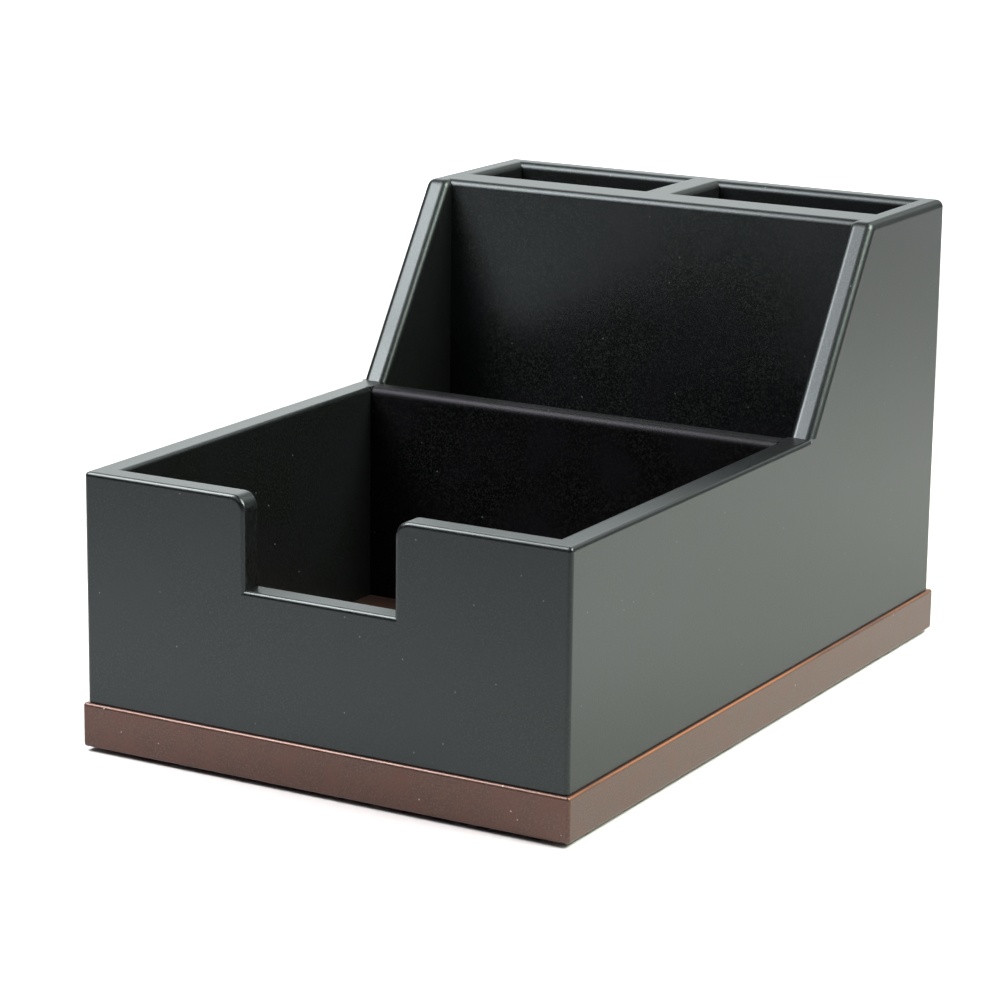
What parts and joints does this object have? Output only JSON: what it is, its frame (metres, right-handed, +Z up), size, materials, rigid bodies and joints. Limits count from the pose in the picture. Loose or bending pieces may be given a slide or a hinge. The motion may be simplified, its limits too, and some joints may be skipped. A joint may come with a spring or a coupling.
{
  "type": "pen and notepad holder",
  "caption": "Desk holder with an open notepad tray with a finger notch, a standing slot and tall pen cells, in black lacquered panels on a brown board.",
  "frame": {"origin": "middle of the footprint, at the height of the table that the felt pads rest on", "axes": "+Z up, +Y from the low notched front to the tall back, +X to the right seen from the front"},
  "size_m": [0.1216, 0.187, 0.1085],
  "materials": {
    "black_lacquer": "black satin lacquer over fine-grained board",
    "brown_lacquer": "brown satin lacquer over fine-grained board",
    "screw_steel": "plain zinc-plated steel",
    "felt": "dark self-adhesive felt"
  },
  "bodies": {
    "root": {"base_plate": "brown_lacquer", "front_wall": "black_lacquer", "back_wall": "black_lacquer", "left_side_wall": "black_lacquer", "right_side_wall": "black_lacquer", "tray_divider": "black_lacquer", "pen_wall": "black_lacquer", "pen_partition": "black_lacquer", "base_screws": "screw_steel", "pad_front_left": "felt", "pad_front_right": "felt", "pad_back_left": "felt", "pad_back_right": "felt"}
  },
  "joints": []
}
